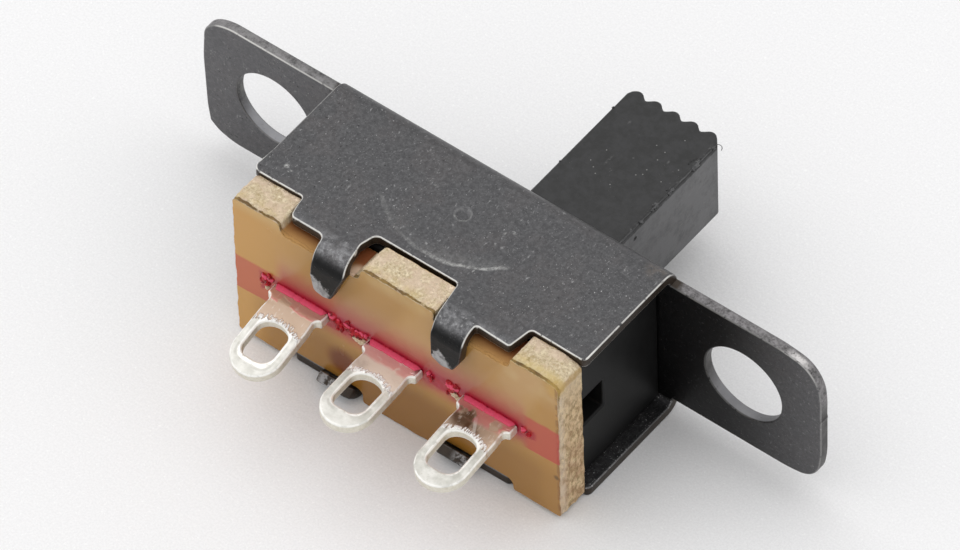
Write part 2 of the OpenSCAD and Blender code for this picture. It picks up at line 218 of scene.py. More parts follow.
lower_edge = [
    (-5.25, -2.25, 0), (-5.25, -6.05, 0.16), (-3.55, -6.05, 0.14), (-3.46, -6.94, 0.16),
    (-2.47, -6.94, 0.05), (-2.45, -7.34, 0.1), (-2.3, -7.44, 0.1), (-1.5, -7.44, 0.1), (-1.36, -7.34, 0.1),
    (-1.34, -5.95, 0.24), (1.34, -5.95, 0.24), (1.36, -7.34, 0.1), (1.5, -7.44, 0.1),
    (2.3, -7.44, 0.1), (2.45, -7.34, 0.1), (2.47, -6.94, 0.05), (3.46, -6.94, 0.16),
    (3.55, -6.05, 0.14), (5.25, -6.05, 0.16), (5.25, -2.25, 0)]
right_ear = [
    (8.9, -2.26, 4), (9.5, -2.16, 4), (9.84, -1.76, 4), (9.94, -1.1, 4), (9.945, 0.2, 0.4), (9.96, 0.28, 0.1),
    (9.94, 0.36, 0.3), (9.95, 0.9, 4), (9.9, 1.56, 4), (9.5, 2.12, 4), (8.7, 2.26, 4)]
slot = [(x, v, 0.05) for x, v in ((-SLOT_HALF, -SLOT_SIDE), (SLOT_HALF, -SLOT_SIDE),
                                  (SLOT_HALF, SLOT_SIDE), (-SLOT_HALF, SLOT_SIDE))]
blank = plate(
    [rounded(upper_edge + left_ear + lower_edge + right_ear),
     circle(-SCREW_PLACE, 0, SCREW_R), circle(SCREW_PLACE, 0, SCREW_R), rounded(slot)],
    SHEET, SHEET_EDGE)
tab_start = PANEL_FLAT - FOLD_OUTER - TAB_FOLD_Y
fold_lines = steps_between(PLATE_HALF, PANEL_FLAT, 0.05)
panel_lines = steps_between(PANEL_FLAT + 0.15, tab_start - 0.12, 0.2)
tab_lines = steps_between(tab_start, tab_start + TAB_FOLD_MEAN * UPPER_BEND, 0.06)
across_lines = fold_lines + panel_lines + tab_lines
score(blank, 1, across_lines + [-v for v in across_lines])
score(blank, 0, steps_between(-5.2, 5.2, 0.2) + steps_between(-0.42, 0.42, 0.06))


def from_dimple(v):
    """How far a point of the blank is from the middle of the dimple on its side."""
    return (Vector((v.co.x, abs(v.co.y))) - DIMPLE).length


near_dimple = [e for e in blank.edges if all(from_dimple(v) < 0.6 and abs(v.co.z) > 0.1 for v in e.verts)]
bmesh.ops.subdivide_edges(blank, edges=near_dimple, cuts=3, use_grid_fill=True)
ring_wear_and_highlight = blank.verts.layers.float.new("ring_wear_and_highlight")
for v in blank.verts:
    x, across, w = v.co
    away = from_dimple(v)
    if away < 0.5 and abs(w) > 0.1:
        pressed = min(1, max(0, (DIMPLE_R - away) / 0.08))
        lip = math.exp(-((away - DIMPLE_R - 0.025) / 0.03) ** 2)
        w -= DIMPLE_DEPTH * pressed - 0.006 * lip
        # The ring of wear round the dimple is strongest on its lower side, where a highlight is painted.
        lower_side = 0.62 * (x - DIMPLE.x) + 0.78 * (abs(across) - DIMPLE.y)
        v[ring_wear_and_highlight] = math.exp(-((away - 0.21) / 0.03) ** 2) * min(1, max(0.35, 0.5 + 4 * lower_side))
    v.co = fold(x, across, w)


class Field:
    """Something that varies over a surface: one output socket of a node."""

    def __init__(self, tree, out=None):
        self.tree, self.out = tree, out

    def node(self, kind, settings=(), values=(), pick=0):
        """Adds a node: its settings first, then the values or links of its
        sockets. What comes back is the output that was picked."""
        made = self.tree.nodes.new(kind)
        for key, value in dict(settings).items():
            setattr(made, key, value)
        for key, value in dict(values).items():
            spot = next((s for s in made.inputs if s.identifier == key), None) or made.inputs[key]
            if isinstance(value, Field):
                self.tree.links.new(value.out, spot)
            elif isinstance(value, tuple) and len(value) == 3 and spot.type == "RGBA":
                spot.default_value = (*value, 1)
            else:
                spot.default_value = value
        return Field(self.tree, made.outputs[pick])

    def math(self, operation, a, b):
        return self.node("ShaderNodeMath", {"operation": operation}, {"Value": a, "Value_001": b})

    def __add__(self, other):
        return self.math("ADD", self, other)

    def __radd__(self, other):
        return self.math("ADD", other, self)

    def __sub__(self, other):
        return self.math("SUBTRACT", self, other)

    def __rsub__(self, other):
        return self.math("SUBTRACT", other, self)

    def __mul__(self, other):
        return self.math("MULTIPLY", self, other)

    def __rmul__(self, other):
        return self.math("MULTIPLY", other, self)


def finish_for(name):
    """A new material with its shader, and a field to start its pattern from."""
    material = bpy.data.materials.new(name)
    material.use_nodes = True
    tree = material.node_tree
    return material, tree.nodes["Principled BSDF"], Field(tree)


def set_on(shader, **values):
    """Puts values or fields on the shader's sockets: Base_Color is Base Color."""
    for key, value in values.items():
        spot = shader.inputs[key.replace("_", " ")]
        if isinstance(value, Field):
            value.tree.links.new(value.out, spot)
        elif isinstance(value, tuple):
            spot.default_value = (*value, 1)
        else:
            spot.default_value = value


def place_on(start):
    """The point on the piece in millimetres."""
    at = start.node("ShaderNodeTexCoord", pick=3)
    return at.node("ShaderNodeVectorMath", {"operation": "SCALE"}, {"Vector": at, "Scale": 1 / MM})


def parts_of(vector):
    """The three numbers of a point: along the switch, front to rear, and height."""
    split = vector.node("ShaderNodeSeparateXYZ", values={"Vector": vector}).out.node
    return [Field(vector.tree, out) for out in split.outputs]


def stretched(at, scale):
    """The point with its axes scaled, which stretches the pattern made from it."""
    return at.node("ShaderNodeVectorMath", {"operation": "MULTIPLY"}, {"Vector": at, "Vector_001": scale})


def away_from(at, where):
    """How many millimetres the point is from a given place."""
    return at.node(
        "ShaderNodeVectorMath", {"operation": "DISTANCE"}, {"Vector": at, "Vector_001": where}, pick=1)


def grain(at, size, detail=3.0, rough=0.55):
    """Cloudy noise from 0 to 1 whose grains are about size millimetres across."""
    return at.node("ShaderNodeTexNoise", values={
        "Vector": at, "Scale": 1.0 / size, "Detail": detail, "Roughness": rough})


def rise(field, low, high):
    """0 below low, 1 above high and smooth between; low may be above high."""
    return field.node("ShaderNodeMapRange", {"interpolation_type": "SMOOTHSTEP"},
                      {"Value": field, "From Min": low, "From Max": high})


def spot_at(at, where, inner, outer):
    """1 within inner millimetres of a place, fading to 0 at outer."""
    return rise(away_from(at, where), outer, inner)


def spots(at, marks):
    """Spots added up. Each has a place, an inner and outer radius and a strength."""
    return sum(strength * spot_at(at, where, inner, outer) for where, inner, outer, strength in marks)


def blend(mask, below, above):
    """One colour where the mask is 0 and the other where it is 1."""
    source = next(part for part in (mask, below, above) if isinstance(part, Field))
    return source.node("ShaderNodeMix", {"data_type": "RGBA"},
                       {"Factor_Float": mask, "A_Color": below, "B_Color": above}, pick=2)


def layered(colour, *coats):
    """A colour with others laid over it in turn, each where its mask is 1."""
    for mask, over in coats:
        colour = blend(mask, colour, over)
    return colour


def relief(height, depth):
    """Bumps of a height field, depth millimetres high."""
    return height.node("ShaderNodeBump", values={"Height": height, "Distance": depth * MM, "Strength": 1.0})


def mark(field, name):
    """A number stored on the mesh, such as rim."""
    return field.node("ShaderNodeAttribute", {"attribute_name": name}, pick=2)


blackened, shader, start = finish_for("blackened_steel")
at = place_on(start)
px, py, pz = parts_of(at)
rim, cut, ring_wear_and_highlight = (mark(start, n) for n in ("rim", "cut", "ring_wear_and_highlight"))
cloud = grain(at, 1.8, 4.0)
mottle = grain(at, 0.22, 4.0, 0.65)
fine = grain(at, 0.07, 3.0, 0.7)
grit = 0.5 * mottle + 0.5 * fine

# Parts of the frame: the upper panel and its rear edge, the ears with their
# holes, and the faces that lie deep inside or behind the board, which get
# painted shade.
top = rise(pz, 2.3, 2.45)
notched = rise(py, -3.2, -3.5) * top
ears = rise(px * px, 29.0, 31.0)
to_right = rise(px, 0.0, 5.0)
sideways = px.node("ShaderNodeMath", {"operation": "ABSOLUTE"}, {"Value": px}) - SCREW_PLACE
from_hole = sideways * sideways + pz * pz
# Painted shade: the tabs behind the board and the right ear's rear face by the body are made near black, for
# the shade they lie in and the dark they mirror.
inside = rise(px, 4.5, 4.8) * rise(px, 10.2, 6.5) * rise(py, -0.2, -0.28) * rise(pz * pz, 5.5, 5.0)
painted_shade = rise(py, -4.85, -5.08) + 0.9 * inside
open_face = 1 - painted_shade

# Pale specks of three kinds lie on the open faces, and pits are dark.
salt = rise(grain(at, 0.05, 3.0, 0.6), 0.6, 0.74) * (0.25 + 0.75 * rise(grain(at, 0.6, 3.0), 0.36, 0.62))
salt = salt * open_face
flake = rise(grain(stretched(at, (1.0, 0.5, 1.0)), 0.1, 2.0, 0.6), 0.62, 0.76)
flake = flake * rise(fine, 0.35, 0.55) * open_face
sparks = rise(grain(at, 0.055, 2.0, 0.5), 0.71, 0.77) * top * open_face
pits = rise(grain(at, 0.09, 2.0, 0.5), 0.34, 0.26)

# A faint arc is rubbed into the upper panel round the dimple, with some
# scrapes and three painted glints in the dimple, and the corner by the right
# ear is polished.
ring_away = away_from(at, (-0.15, -0.68, 2.7)) + (grain(at, 0.5, 3.0) - 0.5) * 0.16
ring = (rise(ring_away, 2.64, 2.71) + 0.3 * rise(ring_away, 2.2, 2.7)) * rise(ring_away, 2.8, 2.74)
ring = ring * rise(py, -2.45, -2.65) * rise(pz, 2.4, 2.5) * (0.25 + 0.75 * rise(px, -0.9, 0.9))
arc = ring * (0.25 + 0.75 * rise(grain(at, 0.11, 4.0, 0.75), 0.4, 0.6))
scrapes_and_glints = rise(fine, 0.45, 0.6) * spots(at, [
    ((-4.62, -3.25, 2.7), 0.02, 0.1, 1.0), ((-4.46, -3.33, 2.7), 0.02, 0.08, 1.0),
    ((-1.42, -1.42, 2.7), 0.02, 0.1, 0.35), ((-1.22, -1.5, 2.7), 0.02, 0.11, 0.35),
    ((1.15, -1.7, 2.7), 0.02, 0.09, 0.5), ((1.3, -1.54, 2.7), 0.02, 0.1, 0.5),
    # The last three spots lie in the dimple and are painted glints, not scrapes.
    ((1.27, -3.15, 2.7), 0.03, 0.08, 1.0), ((-0.21, -1.98, 2.67), 0.03, 0.08, 1.0),
    ((-0.06, -2.03, 2.67), 0.04, 0.09, 1.0), ((0.05, -1.97, 2.67), 0.03, 0.08, 1.0)])
polish = spot_at(at, (4.9, -0.35, 2.65), 0.1, 0.45) * rise(mottle, 0.4, 0.6)
# The tab bends are pale partly from wear and partly from a painted highlight along their curve.
bend_wear_and_highlight = rise(py, -4.2, -4.5) * rise(py, -5.0, -4.85) * top

# Bare steel shows along the edges, on the burrs and on the ends of the tabs.
# The wide spot of it at the right ear's top corner is a painted highlight.
panel_end = rise(px * px, 26.0, 27.0) * rise(py, -0.1, -0.4) * (0.35 + 0.45 * rise(px, 0.0, 1.0))
ear_edge_wear_and_highlight = 0.12 + 0.6 * rise(pz, 2.0, 2.15) * rise(px, 6.0, -6.0)
# painted highlight at the right ear's top corner
ear_edge_wear_and_highlight = (ear_edge_wear_and_highlight + 0.3 * spot_at(at, (9.35, -0.3, 2.1), 0.3, 0.8)) * rise(from_hole, 1.6, 1.9)
exposed = 0.1 + 0.9 * notched + top * panel_end + ears * rise(py, -0.15, -0.25) * ear_edge_wear_and_highlight
edge_wear = rim * rise(grain(at, 0.16, 3.0), 0.3, 0.42) * exposed
burr = spots(at, [
    ((2.42, -4.42, 2.7), 0.04, 0.14, 1.0), ((1.3, -4.55, 2.65), 0.05, 0.14, 1.0),
    ((-1.5, -4.42, 2.65), 0.04, 0.12, 1.0), ((-3.5, -4.4, 2.7), 0.05, 0.2, 1.0)])
patchy = (grain(at, 0.16, 4.0, 0.7) - 0.5) * 0.9
right_tip = rise(pz + 1.15 * px + patchy, 3.8, 3.5) * rise(pz - 1.6 * px + patchy, -0.68, -0.9)
left_tip = rise(pz + 0.6 * px + patchy, 0.5, 0.3) * rise(px + patchy * 0.5, -1.8, -1.95)
upper_tips = right_tip * rise(px, 0.5, 1.0) + left_tip * rise(px, 0.0, -1.0)
upper_tips = upper_tips * rise(py, -5.0, -5.07) * rise(pz, 1.0, 1.2)
lower_tips = spots(at, [((-2.1, -5.0, -2.3), 0.15, 0.45, 0.7), ((2.2, -5.0, -2.3), 0.1, 0.4, 0.7)])
tips = upper_tips * (0.55 + 0.45 * rise(mottle, 0.35, 0.6)) + lower_tips * rise(mottle, 0.4, 0.55)

# The punched sides are dark on the body and grey from handling on the ears,
# lighter towards the ears' tops, with a painted highlight on the lower wall
# of each screw hole and another at the right ear's top corner.
side = cut * (1 - rim)
lighter_towards_top = rise(pz, 0.4, 1.2) * rise(grit, 0.34, 0.64) * (0.8 + 0.15 * to_right)
# painted highlight on the lower wall of each screw hole
painted_bore_highlight = rise(from_hole, 1.9, 1.6) * rise(pz, -0.1, -1.05) * (0.85 - 0.35 * to_right)
# painted highlight at the right ear's top corner
painted_corner_highlight = spot_at(at, (9.22, -0.2, 2.2), 0.05, 0.5) * rise(py, -0.05, -0.15) * rise(grit, 0.34, 0.54)
body_side = blend(grain(at, 0.09, 3.0, 0.7), (0.018, 0.011, 0.007), (0.055, 0.04, 0.028))
ear_side = layered(
    blend(rise(grain(at, 0.3, 4.0, 0.7), 0.35, 0.65), (0.045, 0.043, 0.044), (0.19, 0.19, 0.185)),
    (to_right * 0.7, (0.04, 0.037, 0.036)),
    (lighter_towards_top, (0.27, 0.258, 0.264)),
    (painted_bore_highlight, (0.33, 0.33, 0.35)),
    (painted_corner_highlight, (0.68, 0.655, 0.645)))

coat = layered(
    blend(cloud, (0.08, 0.08, 0.084), (0.097, 0.096, 0.098)),
    (rise(grain(at, 1.0, 2.0), 0.42, 0.62) * 0.5, (0.109, 0.1, 0.1)),
    (rise(grain(at, 0.08, 4.0, 0.75), 0.38, 0.62) * (0.85 - 0.25 * top), (0.142, 0.141, 0.145)),
    (rise(grain(at, 0.17, 4.0, 0.75), 0.56, 0.42) * 0.45, (0.064, 0.063, 0.066)),
    # Painted reflection: the ears are made lighter for the pale floor they mirror.
    (ears * 0.35, (0.16, 0.158, 0.165)),
    # painted shade on the tabs behind the board and the faces inside by the right ear
    (painted_shade * 0.92, (0.008, 0.008, 0.008)),
    (pits * (0.3 + 0.4 * rise(px, -1.0, -3.5)), (0.03, 0.03, 0.03)),
    (salt * 0.42 + flake * 0.4, (0.5, 0.5, 0.5)),
    (sparks * 0.75, (0.75, 0.75, 0.75)),
    (salt * rise(pz, -2.2, -2.35) * rise(px, 3.5, 4.6), (1.0, 1.0, 1.0)),
    (bend_wear_and_highlight * rise(mottle, 0.36, 0.66) * (0.3 + 0.3 * rise(fine, 0.4, 0.6)), (0.34, 0.34, 0.35)),
    # ring of wear round the dimple, with a painted highlight on its lower side
    (ring_wear_and_highlight * rise(mottle, 0.3, 0.5) * 0.8, (0.4, 0.4, 0.4)),
    (polish * 0.3, (0.26, 0.21, 0.17)),
    (side, blend(ears, body_side, ear_side)),
    (arc * 0.4 + scrapes_and_glints * 0.6, (0.62, 0.62, 0.6)),
    (edge_wear * 0.9, (0.74, 0.73, 0.7)),
    (burr * rise(fine, 0.4, 0.5) * cut, (0.85, 0.84, 0.8)),
    (tips * 0.8, (0.6, 0.6, 0.61)))
set_on(shader, Base_Color=coat, Metallic=0.92 - 0.5 * side,
       Roughness=0.32 + 0.12 * cloud + 0.1 * mottle + 0.15 * tips,
       Normal=relief(fine * 0.15 + mottle * 0.5 - 0.8 * pits + 0.4 * salt + tips * mottle, 0.014))
piece("frame", blank, [blackened], "switch_body", ["frame"])

# ---------------------------------------------------------------------------
# The base board is punched from paper phenolic sheet. Its faces are glossy and
# brown, and its punched sides are pale, fibrous and a little torn. It sits on
# the ends of the side panels and is held there by the four tabs.

BOARD_FRONT, BOARD_REAR = -3.8, -4.8
CRACK_LEVEL = 0.94  # how far through the board it has split, from the front


def resampled(loop, step):
    """The same outline with a point at about every step along it."""
    out = []
    for a, b in zip(loop, loop[1:] + loop[:1]):
        count = max(1, round((b - a).length / step))
        out += [a.lerp(b, k / count) for k in range(count)]
    return out


def wrap(bm, rings):
    """Faces from ring to ring over a row of equal rings of points."""
    for one, two in zip(rings, rings[1:]):
        for i in range(len(one)):
            j = (i + 1) % len(one)
            bm.faces.new((one[i], one[j], two[j], two[i]))


def punched_board():
    """The board as a stack of outlines, each torn in or out a little."""
    loop = resampled(rounded([
        (-5.19, 2.5, 0.1), (-5.04, 2.6, 0.1), (-3.64, 2.6, 0.1), (-3.6, 2.24, 0.2), (-1.18, 2.24, 0.16),
        (-1.06, 2.7, 0.2), (1.27, 2.7, 0.06), (1.27, 2.24, 0.16), (3.6, 2.24, 0.2), (3.64, 2.6, 0.1),
        (4.7, 2.6, 0.4), (5.08, 2.52, 0.12), (5.18, 2.4, 0.08), (5.18, -2.6, 0.12), (3.62, -2.6, 0.1),
        (3.6, -2.24, 0.2), (1.2, -2.24, 0.16), (1.2, -2.7, 0.1), (-1.2, -2.7, 0.1), (-1.2, -2.24, 0.16),
        (-3.6, -2.24, 0.2), (-3.62, -2.6, 0.1), (-5.19, -2.6, 0.12)]), 0.06)
    levels = [0, 0.03, 0.1, 0.2, 0.3, 0.4, 0.5, 0.6, 0.7,
              0.78, 0.84, 0.88, 0.91, 0.93, 0.95, 0.97, 0.985, 1.0]
    bm = bmesh.new()
    side = bm.verts.layers.float.new("side")
    rings = []
    for level in levels:
        ring = []
        y = BOARD_FRONT + (BOARD_REAR - BOARD_FRONT) * level
        split = math.exp(-((level - CRACK_LEVEL) / 0.022) ** 2)
        for i, p in enumerate(loop):
            run = (loop[(i + 1) % len(loop)] - loop[i - 1]).normalized()
            inward = Vector((run.y, -run.x))
            pocket = 1.15 < abs(p.x) < 3.66 and abs(p.y) < 2.6
            torn = noise.fractal(Vector((p.x * 3.0, p.y * 3.0, y * 9.0)), 1.0, 2.0, 4)
            depth = 0.02 + (0.004 if pocket else 0.028) * torn
            if not pocket:
                crack = split * max(0, noise.noise(Vector((p.x * 1.3, p.y, 4.0))) + 0.45)
                depth += (0.05 if p.y > 0 else 0.02) * crack
            if level > 0.98:
                depth += level - 0.98
            if level < 0.03:
                depth += 0.02
            ring.append(bm.verts.new((p.x + inward.x * depth, y, p.y + inward.y * depth)))
            ring[-1][side] = 0.0 if level in (0, 1.0) else 1.0
        rings.append(ring)
    wrap(bm, rings)
    for ring in (rings[0], rings[-1]):
        face = bm.faces.new(ring)
        bmesh.ops.inset_region(bm, faces=[face], thickness=0.03)
        for v in face.verts:
            v[side] = 0.0
    return bm


phenolic, shader, start = finish_for("phenolic_board")
at = place_on(start)
px, py, pz = parts_of(at)
side = mark(start, "side")
tone = grain(at, 1.4, 3.0)
drift = rise(grain(at, 0.3, 3.0, 0.65), 0.35, 0.65)
patch = rise(grain(at, 0.45, 3.0, 0.6), 0.4, 0.62)

# The glossy rear face is brown. Its slanting pale bands above the terminals
# are painted reflections of them, with painted shade between them and over
# the lower half; a dark brown spot is the painted reflection and shadow of
# the lower left tab, and the upper right corner is rubbed.
upper = rise(pz, -0.5, 0.6)
painted_low_shade = rise(pz, -0.3, -1.3) * rise(px, -4.9, -4.0)
# slant is where a point's mirror image falls along the row of terminals
slant = px - 0.525 * pz
painted_lug_reflection = rise(slant, -1.0, -0.3) * rise(slant, 1.0, 0.5) + rise(slant, 2.0, 2.6) * rise(slant, 3.95, 3.45)
painted_lug_reflection = painted_lug_reflection * upper
painted_upper_shade = rise(slant, -4.4, -3.0) * rise(px, 4.6, 4.1) * upper * (1 - painted_lug_reflection)
# painted reflection and shadow of the lower left tab
painted_tab_reflection_and_shadow = spot_at(at, (-1.75, -4.8, -1.5), 0.25, 0.66)
rubbed = spots(at, [((4.8, -4.8, 2.2), 0.1, 0.9, 1.0), ((3.7, -4.8, 2.15), 0.05, 0.4, 1.0)])
amber = spot_at(at, (5.05, -4.78, 2.38), 0.1, 0.42)
trim = rise(px, 5.04, 5.1) * rise(grain(at, 0.2, 3.0), 0.36, 0.52)
face = layered(
    blend(tone, (0.46, 0.235, 0.05), (0.51, 0.285, 0.08)),
    (rise(px, -2.8, -4.8), (0.585, 0.31, 0.075)),
    # painted shade between the reflections
    (painted_upper_shade * 0.4, (0.38, 0.2, 0.055)),
    (painted_lug_reflection * (0.5 + 0.4 * rise(px, 1.5, 3.0)), (0.54, 0.33, 0.14)),
    (rise(pz, 2.1, 2.6) * rise(tone, 0.3, 0.6) * 0.45, (0.64, 0.46, 0.2)),
    # painted shade over the lower half
    (painted_low_shade * (0.6 + 0.35 * rise(px, 4.0, 1.5) * rise(px, -3.4, -0.8)), (0.275, 0.12, 0.018)),
    (rise(px, 4.3, 4.8) * 0.5, (0.43, 0.215, 0.045)),
    (painted_tab_reflection_and_shadow * 0.92, (0.16, 0.032, 0.001)),
    (rubbed * rise(tone, 0.3, 0.6) * 0.6, (0.62, 0.44, 0.22)),
    (amber * 0.5, (0.58, 0.35, 0.08)),
    (trim * 0.6, (0.22, 0.1, 0.03)),
    (spot_at(at, (5.05, -4.8, -1.06), 0.03, 0.12) * 0.8, (0.13, 0.07, 0.02)))

# The punched sides are fibrous: cream on top, browner at the ends, smooth in
# the pockets under the tabs with painted shade darkening them further in, and
# split along one layer near the rear face. A pale band down the right end
# face by its rear edge is a painted highlight.
upright = stretched(at, (1.0, 1.0, 0.6))
weave = rise(grain(upright, 0.075, 4.0, 0.7), 0.28, 0.7)
shreds = rise(grain(upright, 0.14, 5.0, 0.68), 0.36, 0.62)
specks = rise(grain(at, 0.075, 2.0, 0.6), 0.62, 0.7) * rise(grain(at, 0.35, 2.0), 0.45, 0.6)
end_face = rise(px, 5.08, 5.13)
pocket = rise(px * px, 13.3, 12.9) * rise(px * px, 1.65, 1.75) * rise(pz * pz, 6.7, 6.0)
line = py + (grain(at, 0.16, 4.0, 0.65) - 0.5) * 0.1
wide = rise(grain(at, 0.4, 2.0), 0.35, 0.6)
crack = rise(line, -4.79, -4.77) * rise(line, -4.705 + 0.03 * wide, -4.73 + 0.03 * wide)
crack = crack * rise(grain(at, 0.25, 2.0), 0.24, 0.38) * rise(pz, 1.2, 2.3)
cream = layered(
    blend(weave, (0.58, 0.43, 0.235), (0.97, 0.835, 0.60)),
    (patch * 0.6, (0.9, 0.69, 0.54)),
    (rise(py, -4.3, -4.62) * (0.5 * drift + 0.5 * rise(px, 3.0, 4.0)) * 0.85, (0.80, 0.62, 0.27)),
    (rise(grain(at, 0.22, 4.0, 0.65), 0.56, 0.7) * rise(py, -4.0, -4.5) * 0.7, (0.44, 0.30, 0.11)))
brown = layered(
    blend(shreds, (0.40, 0.255, 0.12), (0.90, 0.705, 0.435)),
    (drift * 0.35, (0.52, 0.31, 0.15)),
    (patch * rise(pz, 1.4, -0.5) * 0.35, (0.46, 0.22, 0.13)),
    (rise(pz, 0.9, 2.3) * 0.45, (0.86, 0.70, 0.48)))
pocket_with_painted_shade = layered(
    # painted shade: darker deeper into the pocket
    blend(rise(py, -4.8, -4.2), (0.50, 0.27, 0.09), (0.22, 0.06, 0.015)),
    (spot_at(at, (-1.3, -4.65, 2.25), 0.12, 0.36) * 0.8, (0.8, 0.58, 0.43)))
pale = layered(
    blend(rise(pz, 2.0, 2.45), brown, cream),
    (specks * (0.3 + 0.3 * rise(px, 5.1, 5.15)), (0.17, 0.1, 0.04)),
    (crack * 0.9, blend(drift, (0.16, 0.085, 0.018), (0.34, 0.2, 0.05))),
    # painted highlight down the right end face by its rear edge
    (rise(py, -4.45, -4.7) * end_face * (0.3 + 0.7 * drift) * (1 - crack) * 0.6, (0.93, 0.79, 0.62)),
    (rise(pz, 2.2, 2.32) * rise(pz, 2.5, 2.4) * end_face * 0.6, (0.5, 0.3, 0.09)),
    (amber * 0.7, (0.66, 0.43, 0.12)),
    (pocket, pocket_with_painted_shade))

# Red lacquer has stained the rear face: a clean stripe at both ends, and a
# haze that fades upwards from the terminals with a dark line at their roots,
# which is thick lacquer and painted shade. A pale pink wash over the haze is
# a painted reflection.
level = pz - 0.036 * px
ragged = grain(at, 0.35, 3.0)
wander = ragged - 0.5
ends = rise(px, -3.55, -3.95) + rise(px, 3.95, 4.25)
rear = rise(py, -4.76, -4.79)
middle = rear * (1 - ends)
stripe = rise(level + wander * 0.08, -0.72, -0.68) * rise(level + wander * 0.1, 0.62, 0.5)
haze = rise(pz + wander * 0.4, 1.35, 0.0) * rise(pz + wander * 0.2, -0.75, -0.05)
veil = rear * stripe * ends * (0.66 + 0.1 * rise(px, -1.0, 1.0)) + middle * haze * (0.65 + 0.5 * ragged)
# painted reflection: a pale pink wash over the haze
painted_pale_reflection = middle * rise(pz, 1.9, 0.5) * rise(pz, -0.2, 0.3)
# the dark line at the roots is thick lacquer and painted shade
root_lacquer_and_shade = middle * rise(pz, 0.02, 0.14) * rise(pz + wander * 0.15, 0.4, 0.2)
between = rise(grain(at, 0.22, 3.0, 0.6), 0.42, 0.5) * rise(level, -0.32, -0.22) * rise(pz, 0.34, 0.2)
between = between * rise(px, -4.45, -4.3) * rise(px, 4.5, 4.35) * rear
tinted = layered(
    blend(side, face, pale),
    (painted_pale_reflection * 0.16, (0.6, 0.33, 0.38)),
    (veil, blend(ends, (0.40, 0.016, 0.052), (0.50, 0.04, 0.04))),
    (between * 0.85, (0.38, 0.010, 0.022)),
    (root_lacquer_and_shade * 0.75, (0.35, 0.006, 0.03)))
set_on(shader, Base_Color=tinted, Roughness=0.2 + 0.5 * side + 0.1 * tone, Coat_Weight=0.1 * (1 - side),
       Normal=relief(weave * side * (1 - pocket) + 0.05 * tone - crack * side, 0.03))
shader.inputs["Specular IOR Level"].default_value = 0.34
piece("base_board", punched_board(), [phenolic], "switch_body", ["base_board"])

# ---------------------------------------------------------------------------
# Three terminals are stamped from silvered brass strip. Each is pushed through
# a slot in the board up to its shoulders and swaged on the outside, and its
# solder lug is bent down a little. The end round the eye is coined and tinned.

TERMINAL_PLACES = (-3.0, 0.0, 3.0)
LUG_T, LUG_HALF = 0.3, 0.74
SHOULDER = 0.32  # how far the swaged shoulders stand out, straight
BEND_R = 0.5
EYE_TOP = -1.26


def half_ellipse(x, y, rx, ry, start, count):
    """Outline points round half an ellipse, without its two ends."""
    turns = [start + math.pi * k / count for k in range(1, count)]
    return [(x + rx * math.cos(a), y + ry * math.sin(a), 0) for a in turns]


def join(bm, other):
    """Moves everything from the other bmesh into the first."""
    spare = bpy.data.meshes.new("spare")
    other.to_mesh(spare)
    other.free()
    bm.from_mesh(spare)
    bpy.data.meshes.remove(spare)


def terminal(name, place, droop, length, rim_left):
    """One terminal at its place along the board. Its lug stands out by length,
    droops by so many degrees, and has rim_left of metal past the eye."""
    end = -length
    eye_low, nose = end + rim_left, end + LUG_HALF
    outline = rounded([
        (-0.86, -0.02, 0.03), (-0.86, -SHOULDER, 0.05), (-0.7, -0.4, 0.12), (-0.73, -0.75, 0.2),
        (-LUG_HALF, nose, 0), *half_ellipse(0, nose, LUG_HALF, LUG_HALF, math.pi, 32), (LUG_HALF, nose, 0),
        (0.73, -0.75, 0.2), (0.7, -0.4, 0.12), (0.86, -SHOULDER, 0.05), (0.86, -0.02, 0.03)])
    eye = rounded([
        (-0.47, EYE_TOP, 0), (-0.47, eye_low, 0.27), (0.46, eye_low, 0.36), (0.46, EYE_TOP, 0),
        *half_ellipse(0, EYE_TOP, 0.465, 0.33, 0, 24)])
    bm = plate([outline, eye], LUG_T, 0.055)
    score(bm, 1, steps_between(end + 0.1, -0.2, 0.1))
    score(bm, 0, steps_between(-0.6, 0.6, 0.15))
    along = bm.verts.layers.float.new("along")
    across = bm.verts.layers.float.new("across")
    angle = math.radians(droop)
    for v in bm.verts:
        x, s, w = v.co
        v[along], v[across] = -s, x
        w += 0.006 * noise.noise(Vector((x * 2 + place, s * 2, 0)))
        run = max(0.0, -s - SHOULDER)
        turned = min(run / BEND_R, angle)
        rest = max(0.0, run - BEND_R * angle)
        reach = BEND_R + w
        v.co = (
            x + place,
            BOARD_REAR + max(s, -SHOULDER) - reach * math.sin(turned) - rest * math.cos(turned),
            reach * math.cos(turned) - BEND_R - rest * math.sin(turned))
    blade = plate([rounded([
        (-0.75, -3.78, 0), (-0.95, -3.78, 0.02), (-0.95, -3.61, 0.02), (-0.75, -3.6, 0.02),
        (-0.74, -2.91, 0.08), (0.74, -2.91, 0.08), (0.75, -3.6, 0.02), (0.95, -3.61, 0.02),
        (0.95, -3.78, 0.02), (0.75, -3.78, 0)])], LUG_T, 0.03, 2)
    for v in blade.verts:
        v.co.x += place
    join(bm, blade)
    piece(name, bm, [silvered], "switch_body", [name])


silvered, shader, start = finish_for("silvered_brass")
at = place_on(start)
px = parts_of(at)[0]
along, across, rim, cut = (mark(start, n) for n in ("along", "across", "rim", "cut"))
flat = 1 - rise(cut, 0.0, 0.3)
from_left = rise(px, -2.0, 0.0)

# The tinning ends above the eye in a ragged line of fine bright teeth.
teeth = grain(stretched(at, (1.0, 0.3, 0.0)), 0.05, 1.0, 0.4)
border = along - 0.86 - 0.45 * across * across + (teeth - 0.5) * 0.3 + (grain(at, 0.3, 2.0) - 0.5) * 0.06
tinned = rise(border, -0.02, 0.03)
burr = rise(border, -0.09, -0.02) * rise(border, 0.1, 0.02) * flat
tick = burr * rise(teeth, 0.4, 0.5)
gap = burr * rise(teeth, 0.4, 0.32)

